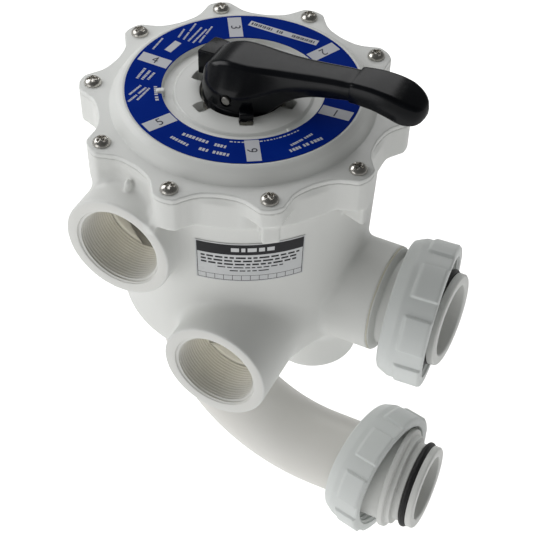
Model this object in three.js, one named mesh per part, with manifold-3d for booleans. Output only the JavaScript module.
// Side-mount multiport filter valve, six positions, 2 inch ports. Millimetres.
// +Z is up along the valve axis. +X faces the filter tank, and both union tails
// point that way. Two threaded ports face -Y, a third faces +Y.
// Pieces are drawn about the valve axis with z = 0 at the joint between cover and
// body. The valve is then shifted to put the origin on the sealing face of the
// upper union tail, at the top of its ring, midway across the ring's width.
import * as THREE from 'three';
import * as BGU from 'three/addons/utils/BufferGeometryUtils.js';
import Module from 'manifold-3d';

const wasm = await Module();
wasm.setup();

// ---- driving dimensions: R is a radius, T a thickness, H a height, L a length ----
const SCREW_COUNT = 10;
const SCREW_CIRCLE_R = 101.9;
const FIRST_SCREW_ANGLE = 18;         // degrees, as are all angles here
const SCREW_HOLE_R = 3.4;
const SHORT_LOBE_ANGLE = 306;         // the one shallow lobe of the body flange
const COVER_RIM_T = 3.5;
const FLANGE_H = 23.5;
const SHORT_FLANGE_H = 12;
const BOWL_TOP_R = 95;
const BOWL_BOTTOM_R = 86.6;
const BOWL_BOTTOM = -165.5;
const SEAT_TOP = -92;                 // port plate inside the body
const SEAT_BOTTOM = SEAT_TOP - 6;
const SPOKE_ANGLES = [30, 80, 128, 184, 240, 285, 330];
const LABEL_INNER_R = 54.1;
const LABEL_OUTER_R = 78.3;
const LABEL_TAB_ANGLE = 211.4;
const PLATEAU_Z = 10.5;               // raised centre of the cover
const OPENING_FLOOR = 3;              // floor of the handle opening in the cover

const PORT_X = 35;
const REAR_PORT_X = 6;
const PORT_REACH = 112;               // port mouths lie this far from the axis along Y
const UPPER_PORT_Z = -54;
const LOWER_PORT_Z = -139;
const PORT_OUTER_R = 38;
const PORT_THREAD_R = 30.1;           // at the mouth
const PORT_THREAD_END_R = PORT_THREAD_R - 1;
const PORT_THREAD_L = 34;
const PORT_BORE_R = 26;

const UNION_FACE_X = 161.8;
const UPPER_UNION_Z = -133.2;
const LOWER_UNION_Z = -323.8;
const TAIL_BORE_R = 25.6;
const TAIL_FACE_R = 32.4;
const SOCKET_END_X = 113.3;           // end of the body's side socket
const PIPE_OUTER_R = 30.4;
const PIPE_INNER_R = 26.2;
const PIPE_SOCKET_R = PIPE_OUTER_R + 0.3;
const PIPE_SOCKET_TOP = -178;
const ELBOW_X = -37;
const BEND_R = 110;

const HUB_R = 27;                     // round base of the handle
const HUB_BOTTOM = 5.7;
const STEM_R = 11;
const STEM_RING_LEVELS = { lower: -11, upper: -6 };
const PIN_Z = 19;
const PIN_R = 3;
const PIN_BORE_R = PIN_R + 0.15;
const ROTOR_R = 74;
const ROTOR_TOP = -50;
const ROTOR_BOTTOM = -88;
const STEM_FOOT = ROTOR_BOTTOM + 8;   // floor of the stem's hole in the rotor
const SPRING_SEAT = ROTOR_TOP - 2.4;  // floor of the spring's groove in the rotor
const SPRING_WASHER_BOTTOM = -3.7;

// ---- finishes ----
const WHITE = { color: 0xe6e7e4 };
const BLACK = { color: 0x111214 };
const RUBBER = { color: 0x0b0b0c };
const STEEL = { color: 0xc8c8c4, metalness: 1 };
const NYLON = { color: 0xd9d6c8 };
const ROTOR_GREY = { color: 0x2b2d30 };
const DIAL_BLUE = { color: 0x10268a };
const LABEL_WHITE = { color: 0xf2f2ee };

// ---- geometry kit ----
const rad = (degrees) => degrees * Math.PI / 180;
const polar = (radius, angle) => [radius * Math.cos(rad(angle)), radius * Math.sin(rad(angle))];
const join = (...solids) => solids.reduce((whole, part) => whole.add(part));
const cut = (base, ...tools) => tools.reduce((rest, tool) => rest.subtract(tool), base);

function toSolid(geometry) {
  const bare = geometry.clone();
  for (const key of Object.keys(bare.attributes)) {
    if (key !== 'position') bare.deleteAttribute(key);
  }
  const merged = BGU.mergeVertices(bare, 1e-5);
  const index = merged.index.array;
  const triangles = [];
  for (let i = 0; i < index.length; i += 3) {
    const [a, b, c] = [index[i], index[i + 1], index[i + 2]];
    if (a !== b && b !== c && a !== c) triangles.push(a, b, c);
  }
  return new wasm.Manifold(new wasm.Mesh({
    numProp: 3,
    vertProperties: new Float32Array(merged.attributes.position.array),
    triVerts: new Uint32Array(triangles),
  }));
}

function toGeometry(solid) {
  const mesh = solid.asOriginal().getMesh();
  const geometry = new THREE.BufferGeometry();
  geometry.setAttribute('position', new THREE.Float32BufferAttribute(mesh.vertProperties, 3));
  geometry.setIndex(new THREE.Uint32BufferAttribute(mesh.triVerts, 1));
  geometry.computeVertexNormals();
  return geometry;
}

// Turned shapes take [r, position along the axis] pairs, counter-clockwise.
function latheZ(profile, segments) {
  const points = profile.map(([r, z]) => new THREE.Vector2(r, z));
  return new THREE.LatheGeometry(points, segments).rotateX(Math.PI / 2);
}
const closed = (profile) => [...profile, profile[0]];
// profile runs from axis to axis
const turned = (profile, segments) => toSolid(latheZ(profile, segments));
// profile closes on itself, clear of the axis
const turnedRing = (profile, segments) => toSolid(latheZ(closed(profile), segments));

function turnedRingX(profile, segments, z = 0) {
  const geometry = latheZ(closed(profile), segments);
  geometry.rotateY(Math.PI / 2);
  geometry.translate(0, 0, z);
  return toSolid(geometry);
}

function flatRing(inner, outer, z0, z1, segments) {
  return turnedRing([[inner, z0], [outer, z0], [outer, z1], [inner, z1]], segments);
}

// eight-sided section of an O-ring
function ringSection(centreR, centreAxial, radius) {
  return [...Array(8).keys()].map((i) => {
    const [r, axial] = polar(radius, 45 * i);
    return [centreR + r, centreAxial + axial];
  });
}

// Cylinders along one axis; a taper ends at endRadius on the far side.
function cylinderZ(radius, z0, z1, segments, x = 0, y = 0, endRadius = radius) {
  const geometry = new THREE.CylinderGeometry(endRadius, radius, z1 - z0, segments);
  geometry.rotateX(Math.PI / 2);
  geometry.translate(x, y, (z0 + z1) / 2);
  return toSolid(geometry);
}

function cylinderY(radius, y0, y1, x, z, segments, endRadius = radius) {
  const geometry = new THREE.CylinderGeometry(endRadius, radius, y1 - y0, segments);
  geometry.translate(x, (y0 + y1) / 2, z);
  return toSolid(geometry);
}

function cylinderX(radius, x0, x1, z, segments) {
  const geometry = new THREE.CylinderGeometry(radius, radius, x1 - x0, segments);
  geometry.rotateZ(-Math.PI / 2);
  geometry.translate((x0 + x1) / 2, 0, z);
  return toSolid(geometry);
}

// box between limits, then swung about the valve axis
function box(x0, x1, y0, y1, z0, z1, angle = 0) {
  const geometry = new THREE.BoxGeometry(x1 - x0, y1 - y0, z1 - z0);
  geometry.translate((x0 + x1) / 2, (y0 + y1) / 2, (z0 + z1) / 2);
  geometry.rotateZ(rad(angle));
  return toSolid(geometry);
}

const toShape = (points) => new THREE.Shape(points.map(([x, y]) => new THREE.Vector2(x, y)));
const extrude = (points, depth) =>
  new THREE.ExtrudeGeometry(toShape(points), { depth, bevelEnabled: false });
const extrudeZ = (pointsXY, z0, z1) => toSolid(extrude(pointsXY, z1 - z0).translate(0, 0, z0));
const extrudeY = (pointsXZ, y0, y1) =>
  toSolid(extrude(pointsXZ, y1 - y0).rotateX(Math.PI / 2).translate(0, y1, 0));
const extrudeX = (pointsYZ, x0, x1) => toSolid(
  extrude(pointsYZ, x1 - x0).rotateX(Math.PI / 2).rotateZ(Math.PI / 2).translate(x0, 0, 0));

// sector of a ring about the valve axis
function wedge(angle0, angle1, inner, outer, z0, z1, steps) {
  const angles = [...Array(steps + 1).keys()].map((i) => angle0 + (angle1 - angle0) * i / steps);
  return extrudeZ([
    ...angles.map((angle) => polar(outer, angle)),
    ...angles.reverse().map((angle) => polar(inner, angle)),
  ], z0, z1);
}

// regular polygon swept along a path
function sweep(radius, sides, extrudePath, steps) {
  const section = [...Array(sides).keys()].map((i) => polar(radius, 360 * i / sides));
  return toSolid(new THREE.ExtrudeGeometry(toShape(section),
    { steps, bevelEnabled: false, extrudePath }));
}

// ---- shared by cover, body and screws ----
// half of one lobe: [degrees from the lobe's centre, radius]
const HALF_LOBE = [[0, 111.3], [3.4, 110.2], [6, 105.4], [8.8, 100.6], [12.6, 97.6], [18, 96.3]];

const screws = [...Array(SCREW_COUNT).keys()].map((k) => {
  const angle = FIRST_SCREW_ANGLE + 360 / SCREW_COUNT * k;
  const [x, y] = polar(SCREW_CIRCLE_R, angle);
  return { angle, x, y, short: angle === SHORT_LOBE_ANGLE };
});

function scallopedOutline(grow = 0) {
  return screws.flatMap(({ angle }) => [
    ...HALF_LOBE.slice(1).reverse().map(([offset, r]) => polar(r + grow, angle - offset)),
    ...HALF_LOBE.slice(0, -1).map(([offset, r]) => polar(r + grow, angle + offset)),
  ]);
}

const bowlRadius = (z) => BOWL_TOP_R + (BOWL_BOTTOM_R - BOWL_TOP_R) * z / BOWL_BOTTOM;

// ---- valve body ----
const FRONT_PORTS = [[-PORT_X, UPPER_PORT_Z], [PORT_X, LOWER_PORT_Z]];  // [x, z], facing -Y
const PORT_CHAMFER = 1.2;
const BOSS_X = 57;                    // round boss under the body

function gusset(angle, width, bottom) {
  const side = [[88, -8], [106, -8], [106, -13], [92, bottom], [88, bottom]];
  return extrudeY(side, -width / 2, width / 2).rotate([0, 0, angle]);
}

function bodyOutside() {
  const bowl = turned([
    [0, BOWL_BOTTOM], [BOWL_BOTTOM_R - 8, BOWL_BOTTOM],
    [BOWL_BOTTOM_R - 3.2, BOWL_BOTTOM + 2.2], [BOWL_BOTTOM_R - 0.4, BOWL_BOTTOM + 7],
    [bowlRadius(-110), -110], [bowlRadius(-60), -60], [BOWL_TOP_R, -6], [BOWL_TOP_R, 0], [0, 0],
  ], 40);
  const lowerFlange = cut(
    extrudeZ(scallopedOutline(-0.5), -FLANGE_H, -SHORT_FLANGE_H + 0.01),
    wedge(SHORT_LOBE_ANGLE - 17, SHORT_LOBE_ANGLE + 17, 98.4, 130, -40, -SHORT_FLANGE_H, 4));
  const band = turned([[0, -31], [94, -31], [97.5, -24], [97.5, -5], [0, -5]], 40);
  const mouthY = -PORT_REACH;
  const frontPorts = FRONT_PORTS.flatMap(([x, z]) => [
    cylinderY(PORT_OUTER_R, mouthY + PORT_CHAMFER, -20, x, z, 24),
    cylinderY(PORT_OUTER_R - PORT_CHAMFER, mouthY, mouthY + PORT_CHAMFER + 0.01, x, z, 24,
      PORT_OUTER_R),
  ]);
  return join(
    bowl,
    extrudeZ(scallopedOutline(), -SHORT_FLANGE_H, 0),
    lowerFlange,
    band,
    gusset(SHORT_LOBE_ANGLE, 9, -38),
    gusset(342, 5, -36),
    ...frontPorts,
    cylinderY(PORT_OUTER_R, 20, PORT_REACH, REAR_PORT_X, LOWER_PORT_Z, 24),
    cylinderX(38.2, 20, SOCKET_END_X, UPPER_UNION_Z, 24),  // side socket
    cylinderZ(33, -199.5, -120, 20, BOSS_X),
    cylinderZ(37.5, -206, -120, 20, ELBOW_X),              // outlet socket
  );
}

// room below the port plate, less its radial walls and round core
function lowerChamber() {
  const room = turned([[0, -158], [72, -158], [79, -154], [82.6, SEAT_BOTTOM],
    [0, SEAT_BOTTOM]], 32);
  const walls = [30, 128, 240, 330].map((angle) => box(0, 90, -2.5, 2.5, -170, -90, angle));
  return cut(room, ...walls, cylinderZ(16, -170, -90, 12));
}

// openings through the port plate, one between each two spokes
function seatWindows() {
  return SPOKE_ANGLES.map((angle, i) => {
    const next = SPOKE_ANGLES[i + 1] ?? SPOKE_ANGLES[0] + 360;
    return wedge(angle + 4, next - 4, 24, 70, SEAT_BOTTOM - 1, SEAT_TOP + 1, 3);
  });
}

function portBores() {
  const mouthY = -PORT_REACH;
  const threadEnd = PORT_REACH - PORT_THREAD_L;
  const innerEnd = 62;
  const front = FRONT_PORTS.flatMap(([x, z]) => [
    cylinderY(PORT_THREAD_R + 1.6, mouthY - 1, mouthY + 2, x, z, 24, PORT_THREAD_R),
    cylinderY(PORT_THREAD_R, mouthY + 1.99, -threadEnd, x, z, 24, PORT_THREAD_END_R),
    cylinderY(PORT_BORE_R, -threadEnd - 0.1, -innerEnd, x, z, 18),
  ]);
  return [
    ...front,
    cylinderY(PORT_THREAD_END_R, threadEnd, PORT_REACH + 1, REAR_PORT_X, LOWER_PORT_Z, 24,
      PORT_THREAD_R),
    cylinderY(PORT_BORE_R, innerEnd, threadEnd + 0.1, REAR_PORT_X, LOWER_PORT_Z, 18),
  ];
}

// screw hole and hex nut pocket in each lobe
function flangeHoles() {
  return screws.flatMap(({ x, y, short }) => {
    const [bottom, top] = short ? [-16.2, -9] : [-30, -FLANGE_H + 6];
    return [cylinderZ(SCREW_HOLE_R, -42, 1, 8, x, y), cylinderZ(6.1, bottom, top, 6, x, y)];
  });
}

function valveBody() {
  const upperChamber = turned([[0, SEAT_TOP], [84, SEAT_TOP], [88.5, -10], [88.5, 1], [0, 1]], 36);
  const hollowed = cut(
    bodyOutside(),
    upperChamber,
    lowerChamber(),
    ...seatWindows(),
    ...portBores(),
    cylinderX(31.8, 78, 117, UPPER_UNION_Z, 24),
    cylinderX(TAIL_BORE_R, 60, 79, UPPER_UNION_Z, 18),
    cylinderZ(26, -192, -150, 16, BOSS_X),
    cylinderZ(PIPE_INNER_R, PIPE_SOCKET_TOP, -150, 18, ELBOW_X),
    cylinderZ(PIPE_SOCKET_R, -207, PIPE_SOCKET_TOP, 24, ELBOW_X),
    ...flangeHoles(),
  );
  // small moulded nib on the upper port
  return join(hollowed, cylinderZ(3, -22, -13.6, 12, -38, -93, 2.2));
}

// ---- cover and labels ----
function cover() {
  // [r, z]: spigot below the joint, then the crown with the dial label's land
  const crown = turned([
    [0, -7], [87.6, -7], [87.6, 0.1], [88.8, 0.1], [88.8, 3.4], [87.6, 5.2], [84.6, 10.2],
    [82.2, 12.6], [79.4, 13.9], [LABEL_OUTER_R + 0.3, 13.5], [LABEL_INNER_R - 0.3, 12.5],
    [53.2, 8.5], [46.4, 8.5], [45.6, PLATEAU_Z], [0, PLATEAU_Z],
  ], 40);
  const underside = turned([
    [0, -8], [80, -8], [80, 2], [74, 8.4], [50, 7.3], [50, 4.6], [42, 4.6], [34, -2], [0, -2],
  ], 32);
  const stemBoss = turned([[0, -14], [17, -14], [17, -1], [0, -1]], 20);
  const notches = [...Array(6).keys()].map((k) => extrudeZ(
    [[26, -4.6], [34.6, -4.6], [37, -3], [37, 3], [34.6, 4.6], [26, 4.6]],
    OPENING_FLOOR + 1, 20).rotate([0, 0, 60 * k]));
  const blank = cut(join(extrudeZ(scallopedOutline(), 0, COVER_RIM_T), crown), underside);
  const machined = cut(
    join(blank, stemBoss),
    cylinderZ(29, OPENING_FLOOR, 20, 30),        // handle opening
    ...notches,
    cylinderZ(11.9, -20, 10, 16),                // stem bore
    flatRing(84.4, 90, -5.6, -2, 36),            // O-ring groove round the spigot
    ...screws.map(({ x, y }) => cylinderZ(SCREW_HOLE_R, -1, 10, 8, x, y)),
  );
  // locating nib for the dial label, and a round nib in the groove inside it
  return join(
    machined,
    box(52.6, 57.2, -2, 2, 8, 13.6, LABEL_TAB_ANGLE),
    cylinderZ(1.8, 8, 10.2, 12, ...polar(49.8, 333), 1.2),
  );
}

function coverOring() {
  return turnedRing([[84.8, -5.2], [86.8, -5.2], [87.9, -4.4], [87.9, -3.2], [86.8, -2.4],
    [84.8, -2.4]], 32);
}

// thin ring on the cover land, notched for the locating nib
function dialLabel() {
  const thickness = 0.3;
  const [innerZ, outerZ] = [12.66, 13.64];
  const ring = turnedRing([
    [LABEL_INNER_R, innerZ], [LABEL_OUTER_R, outerZ],
    [LABEL_OUTER_R, outerZ + thickness], [LABEL_INNER_R, innerZ + thickness],
  ], 40);
  return cut(ring, box(50, 57.8, -2.6, 2.6, 8, 20, LABEL_TAB_ANGLE));
}

// curved plate on the bowl wall
function bodyLabel() {
  const [bottom, top] = [-76.5, -41.5];
  const standoff = 0.35;
  const thickness = 0.3;
  const innerBottom = bowlRadius(bottom) + standoff;
  const innerTop = bowlRadius(top) + standoff;
  const sleeve = turnedRing([
    [innerBottom, bottom], [innerBottom + thickness, bottom],
    [innerTop + thickness, top], [innerTop, top],
  ], 120);
  return sleeve.intersect(wedge(277.6, 322, 60, 130, -90, -30, 8));
}

// ---- cover screws and nuts ----
function coverScrew({ x, y, short }, slotAngle) {
  const tip = short ? -17 : -24.5;
  const seat = COVER_RIM_T + 0.1;
  const [slotBottom, slotTop] = [seat + 1.6, seat + 5];
  const blank = turned([[0, tip], [2.9, tip], [2.9, seat], [5.7, seat], [5.7, seat + 1.2],
    [4.6, seat + 2.9], [0, seat + 3.7]], 12);
  return cut(
    blank,
    box(-3.1, 3.1, -0.65, 0.65, slotBottom, slotTop, slotAngle),
    box(-0.65, 0.65, -3.1, 3.1, slotBottom, slotTop, slotAngle),
  ).translate([x, y, 0]);
}

function coverNut({ x, y, short }) {
  const bottom = short ? -14.8 : -FLANGE_H + 0.6;
  return cut(
    cylinderZ(5.7, bottom, bottom + 5, 6, x, y),
    cylinderZ(SCREW_HOLE_R, bottom - 1, bottom + 6, 8, x, y));
}

// ---- rotor, stem and spring ----
function rotor() {
  const blank = turned([
    [0, ROTOR_BOTTOM], [ROTOR_R, ROTOR_BOTTOM], [ROTOR_R, ROTOR_BOTTOM + 8],
    [ROTOR_R - 6, ROTOR_TOP - 8], [62, ROTOR_TOP - 4], [30, ROTOR_TOP - 4],
    [26, ROTOR_TOP], [0, ROTOR_TOP],
  ], 30);
  return cut(
    blank,
    wedge(34, 146, 22, 66, ROTOR_BOTTOM - 1, ROTOR_BOTTOM + 24, 8),  // pocket from below
    wedge(215, 265, 24, 90, ROTOR_BOTTOM - 1, ROTOR_TOP + 5, 6),     // slot right through
    cylinderZ(STEM_R + 0.2, STEM_FOOT, ROTOR_TOP + 2, 16),
    flatRing(17.2, 23.2, SPRING_SEAT, ROTOR_TOP + 1, 20),
  );
}

function rotorStem() {
  const grooveR = 8.6;
  const grooveHalf = 1.6;
  const foot = STEM_FOOT + 0.2;
  const grooves = Object.values(STEM_RING_LEVELS).flatMap((z) => [
    [STEM_R, z - grooveHalf], [grooveR, z - grooveHalf],
    [grooveR, z + grooveHalf], [STEM_R, z + grooveHalf],
  ]);
  const blank = turned([[0, foot], [STEM_R, foot], ...grooves,
    [STEM_R, 25.5], [STEM_R - 1.5, 27], [0, 27]], 16);
  return cut(blank, cylinderY(PIN_BORE_R, -20, 20, 0, PIN_Z, 12));
}

const stemOring = (z) => turnedRing(ringSection(10.15, z, 1.38), 16);

// compression spring, closed ends
const SPRING = {
  coilR: 20.2,
  wireR: 1.8,
  turns: 7.5,
  endShare: 0.1,   // part of the path at each end that climbs slowly
  endSlope: 0.36,  // climb there, against 1 for an even helix
};

class SpringPath extends THREE.Curve {
  getPoint(t, target = new THREE.Vector3()) {
    const { coilR, wireR, turns, endShare, endSlope } = SPRING;
    const endRise = endSlope * endShare;
    const bottom = SPRING_SEAT + wireR + 0.2;
    const top = SPRING_WASHER_BOTTOM - wireR - 0.2;
    const angle = 2 * Math.PI * turns * t;
    let rise = endRise + (t - endShare) * (1 - 2 * endRise) / (1 - 2 * endShare);
    if (t < endShare) rise = endSlope * t;
    else if (t > 1 - endShare) rise = 1 - endSlope * (1 - t);
    return target.set(coilR * Math.cos(angle), coilR * Math.sin(angle),
      bottom + (top - bottom) * rise);
  }
}

const returnSpring = () => sweep(SPRING.wireR, 6, new SpringPath(), 80);

// gasket on the port plate: two rings joined by spokes
function spiderGasket() {
  const [bottom, top] = [SEAT_TOP + 0.1, SEAT_TOP + 3.6];
  return join(
    flatRing(69.5, 73, bottom, top, 32),
    flatRing(17, 24.5, bottom, top, 20),
    ...SPOKE_ANGLES.map((angle) => box(22, 71, -2.2, 2.2, bottom, top, angle)),
  );
}

// ---- handle ----
// lever seen from the side: [x, z]
const HANDLE_SIDE = [
  [-27, HUB_BOTTOM], [27, HUB_BOTTOM], [30, 16.5], [37, 21.5], [47, 28.6], [60, 32.2],
  [77, 35.4], [80, 36.6], [98, 36], [113, 31.5], [121, 30.6], [126.5, 34.2], [128, 39.5],
  [126, 45], [119, 49.2], [108, 51.4], [94, 52.2], [82, 50.8], [80, 49.2], [72, 48.4],
  [55, 46.2], [36, 43.4], [14, 41.6], [0, 41], [-10, 39.4], [-19, 34.6], [-25, 27], [-27.6, 17],
];
// half of the lever seen from above: [x, half width]
const HANDLE_HALF_PLAN = [
  [-28, 0], [-26.6, 8], [-22.6, 15.8], [-16, 22], [-8, 25.9], [0, 27], [9, 25.6], [17, 21.8],
  [26, 17.2], [37, 14.2], [50, 12.4], [65, 11.6], [79.5, 11.4], [80.5, 12.8], [95, 14.2],
  [110, 14.6], [119, 13], [125.5, 7.6], [128.2, 0],
];
// sloping flanks seen along X: [y, z]
const HANDLE_END = [
  [-27.2, 0], [27.2, 0], [27.2, 20], [25.4, 28], [20.5, 36], [13.5, 41.4], [13.2, 60],
  [-13.2, 60], [-13.5, 41.4], [-20.5, 36], [-25.4, 28], [-27.2, 20],
];

function handle() {
  const plan = [
    ...HANDLE_HALF_PLAN.map(([x, y]) => [x, -y]),
    ...HANDLE_HALF_PLAN.slice(1, -1).reverse(),
  ];
  const lever = extrudeY(HANDLE_SIDE, -40, 40).intersect(extrudeZ(plan, 0, 70));
  // the flanks slope as far as x = 80; the grip beyond stays full
  const limits = join(extrudeX(HANDLE_END, -40, 80), box(79, 140, -40, 40, 0, 70));
  const trimmed = cut(lever.intersect(limits), flatRing(HUB_R, 60, 0, 11, 24));
  const lugBottom = PLATEAU_Z + 0.5;
  const whole = join(
    trimmed,
    cylinderZ(HUB_R, HUB_BOTTOM, 16, 24),
    box(20, 33.6, -4.6, 4.6, lugBottom, 16.5, 300),  // locking lug
    // pointer block behind the hub
    extrudeZ([[-35, 1.5], [-31.5, 20], [-27, 20.6], [-17, 20], [-17, 2]], lugBottom, 30),
  );
  return cut(
    whole,
    box(-16, 16, -11.6, 11.6, 0, 31.5),              // hollow for the stem
    cylinderY(PIN_BORE_R, -40, 40, 0, PIN_Z, 12),
  );
}

// ---- union tails, O-rings and nuts ----
// end of both tails from the tall collar to the sealing face: [r, x]
const TAIL_END = [
  [40.3, 136], [40.3, 139.6], [39.6, 140.2], [36.4, 140.6], [36.2, 144.6], [31.8, 145.2],
  [31.8, 150.5], [29.3, 150.6], [29.3, 156.4], [33.4, 156.4], [33.4, 160.8],
  [TAIL_FACE_R, UNION_FACE_X], [TAIL_BORE_R, UNION_FACE_X],
];

function upperUnionTail() {
  const spigotR = 31.45;
  const shoulderX = SOCKET_END_X + 0.4;
  return turnedRingX([
    [spigotR, 78.4], [spigotR, shoulderX], [38.2, shoulderX], [38, 114.4], [35.2, 115.7],
    [32.2, 116.7], [spigotR, 117.2], [spigotR, 124], [33, 125.5], [33, 132], [33.6, 135.6],
    ...TAIL_END, [TAIL_BORE_R, 78.4],
  ], 24, UPPER_UNION_Z);
}

// the elbow's end fits the wide bore
function lowerUnionTail() {
  const [startX, stopX] = [112, 131.5];
  return turnedRingX([
    [36.2, startX], [36.2, 135.6], ...TAIL_END,
    [TAIL_BORE_R, stopX], [PIPE_SOCKET_R, stopX], [PIPE_SOCKET_R, startX],
  ], 24, LOWER_UNION_Z);
}

const unionOring = (z) => turnedRingX(ringSection(32.2, 153.5, 2.7), 24, z);

const NUT_L = 33;
const NUT_OUTER_R = 51.8;

function unionNut() {
  const sleeve = turnedRingX([[37.2, 0], [44.6, 0], [46.6, 1.6], [49.9, 8.5], [49.9, NUT_L - 1],
    [49.1, NUT_L], [43.2, NUT_L], [42.4, 8.9], [37.2, 8]], 32);
  // one of eight broad grip pads: [degrees from its centre, radius]
  const pad = [[-15.8, 48.6], [-14.6, NUT_OUTER_R - 1.3], [0, NUT_OUTER_R - 0.8],
    [14.6, NUT_OUTER_R - 1.3], [15.8, 48.6]];
  const star = [...Array(8).keys()].flatMap((k) =>
    pad.map(([offset, r]) => polar(r, 45 * k + offset)));
  const pads = new THREE.ExtrudeGeometry(toShape(star), {
    depth: NUT_L - 16.6,
    bevelEnabled: true,
    bevelThickness: 1,
    bevelSize: 0.8,
    bevelOffset: 0,
    bevelSegments: 1,
  });
  pads.rotateY(Math.PI / 2);
  pads.translate(15, 0, 0);
  return join(sleeve, cut(toSolid(pads), cylinderX(46, 0, NUT_L, 0, 12)));
}

// ---- swept elbow from the underside of the body to the lower union ----
// path through points in the XZ plane, sampled only at those points
class PointPath extends THREE.Curve {
  constructor(pointsXZ) {
    super();
    this.points = pointsXZ.map(([x, z]) => new THREE.Vector3(x, 0, z));
    this.last = pointsXZ.length - 1;
  }

  getPointAt(t, target = new THREE.Vector3()) {
    return target.copy(this.points[Math.round(t * this.last)]);
  }

  getTangentAt(t, target = new THREE.Vector3()) {
    const i = Math.round(t * this.last);
    const before = this.points[Math.max(i - 1, 0)];
    const after = this.points[Math.min(i + 1, this.last)];
    return target.subVectors(after, before).normalize();
  }
}

function elbowSweep(radius, sides, topZ, endX) {
  const centreX = ELBOW_X + BEND_R;
  const centreZ = LOWER_UNION_Z + BEND_R;
  const bend = [...Array(11).keys()].map((i) => {
    const [across, down] = polar(BEND_R, 90 * i / 10);
    return [centreX - across, centreZ - down];
  });
  const path = new PointPath([[ELBOW_X, topZ], [ELBOW_X, -196], ...bend,
    [100, LOWER_UNION_Z], [endX, LOWER_UNION_Z]]);
  return sweep(radius, sides, path, path.last);
}

const lowerElbow = () => cut(
  elbowSweep(PIPE_OUTER_R, 24, -178.4, 131.2),
  elbowSweep(PIPE_INNER_R, 16, -170, 140));

// ---- assembly ----
const root = new THREE.Group();
const valve = new THREE.Group();
const faceMeanR = (TAIL_BORE_R + TAIL_FACE_R) / 2;
valve.position.set(-UNION_FACE_X, 0, -(UPPER_UNION_Z + faceMeanR));
root.add(valve);

function addPiece(name, solid, finish) {
  const material = new THREE.MeshStandardMaterial({ metalness: 0, ...finish });
  const mesh = new THREE.Mesh(toGeometry(solid), material);
  mesh.name = name;
  valve.add(mesh);
  return mesh;
}

// Each loose nut hangs a little askew: mouth is the centre of its +X end.
function addUnionNut(name, { mouth, turn, droop, swing }) {
  const mesh = addPiece(name, unionNut(), { ...WHITE, roughness: 0.42 });
  mesh.geometry.translate(-NUT_L, 0, 0);
  mesh.position.set(...mouth);
  mesh.rotation.set(rad(turn), rad(droop), rad(swing), 'ZYX');
}

addPiece('valve_body', valveBody(), { ...WHITE, roughness: 0.42 });
addPiece('cover', cover(), { ...WHITE, roughness: 0.4 });
addPiece('cover_oring', coverOring(), { ...RUBBER, roughness: 0.6 });
addPiece('dial_label', dialLabel(), { ...DIAL_BLUE, roughness: 0.45 });
addPiece('body_label', bodyLabel(), { ...LABEL_WHITE, roughness: 0.4 });

screws.forEach((screw, i) => {
  const id = String(i + 1).padStart(2, '0');
  const slotAngle = 25 + 37 * i;
  addPiece('cover_screw_' + id, coverScrew(screw, slotAngle), { ...STEEL, roughness: 0.28 });
  addPiece('cover_nut_' + id, coverNut(screw), { ...STEEL, roughness: 0.35 });
});

addPiece('rotor', rotor(), { ...ROTOR_GREY, roughness: 0.5 });
addPiece('rotor_stem', rotorStem(), { ...BLACK, roughness: 0.45 });
for (const [place, z] of Object.entries(STEM_RING_LEVELS)) {
  addPiece('stem_oring_' + place, stemOring(z), { ...RUBBER, roughness: 0.55 });
}
addPiece('handle_pin', cylinderY(PIN_R, -26.6, 26.6, 0, PIN_Z, 12),
  { ...STEEL, roughness: 0.25 });
addPiece('thrust_washer', flatRing(13, 27.6, OPENING_FLOOR + 0.1, OPENING_FLOOR + 1.3, 24),
  { ...NYLON, roughness: 0.5 });
addPiece('steel_washer', flatRing(13, 27.4, OPENING_FLOOR + 1.4, OPENING_FLOOR + 2.4, 24),
  { ...STEEL, roughness: 0.3 });
addPiece('spring_washer',
  flatRing(17.6, 25.5, SPRING_WASHER_BOTTOM, SPRING_WASHER_BOTTOM + 1.5, 20),
  { ...STEEL, roughness: 0.35 });
addPiece('return_spring', returnSpring(), { ...STEEL, roughness: 0.3 });
addPiece('spider_gasket', spiderGasket(), { ...RUBBER, roughness: 0.6 });
addPiece('handle', handle(), { ...BLACK, roughness: 0.33 });

addPiece('upper_union_tail', upperUnionTail(), { ...WHITE, roughness: 0.42 });
addPiece('lower_union_tail', lowerUnionTail(), { ...WHITE, roughness: 0.42 });
addPiece('upper_union_oring', unionOring(UPPER_UNION_Z), { ...RUBBER, roughness: 0.5 });
addPiece('lower_union_oring', unionOring(LOWER_UNION_Z), { ...RUBBER, roughness: 0.5 });
addUnionNut('upper_union_nut',
  { mouth: [154.2, 0.2, -133.5], turn: 20, droop: 2.9, swing: 6.3 });
addUnionNut('lower_union_nut',
  { mouth: [132.1, -0.5, -324.4], turn: 20, droop: 1.7, swing: -10.6 });
addPiece('lower_elbow', lowerElbow(), { ...WHITE, roughness: 0.4 });

export default root;
